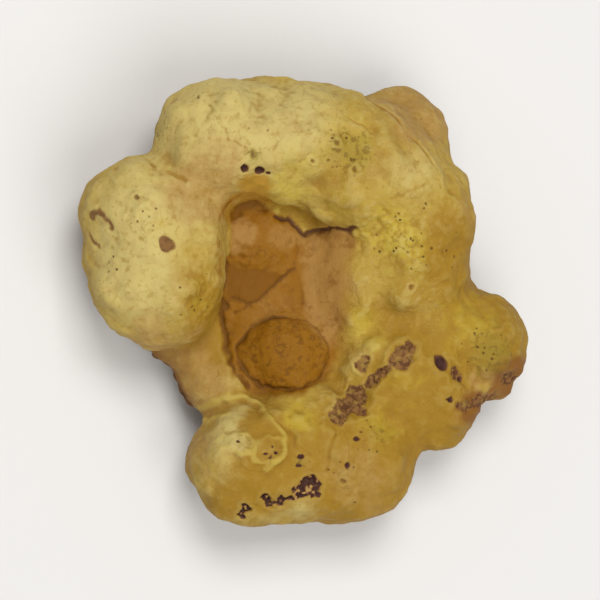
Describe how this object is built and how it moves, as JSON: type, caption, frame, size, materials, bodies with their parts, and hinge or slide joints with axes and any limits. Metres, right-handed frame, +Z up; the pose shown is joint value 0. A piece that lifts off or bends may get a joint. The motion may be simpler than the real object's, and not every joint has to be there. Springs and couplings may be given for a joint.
{
  "type": "phellinus linteus mushroom",
  "caption": "Woody, golden-ochre bracket fungus: lobed, warty fruiting body grown round a deep pit, cut flat where it left its log.",
  "frame": {"origin": "in the plane of the flat scar that the body rests on, under the middle of the whole body seen from above", "axes": "+X along the body's longest way, from the smooth cheek towards the side knob; +Y towards the tall crown; +Z up, away from the scar, the way the pores face"},
  "size_m": [0.128, 0.1244, 0.046],
  "materials": {
    "pore_skin": "mat and velvety, golden ochre with paler tops, an orange-brown pit and small dark purple-brown stains"
  },
  "bodies": {
    "root": {"fruiting_body": "pore_skin"}
  },
  "joints": []
}
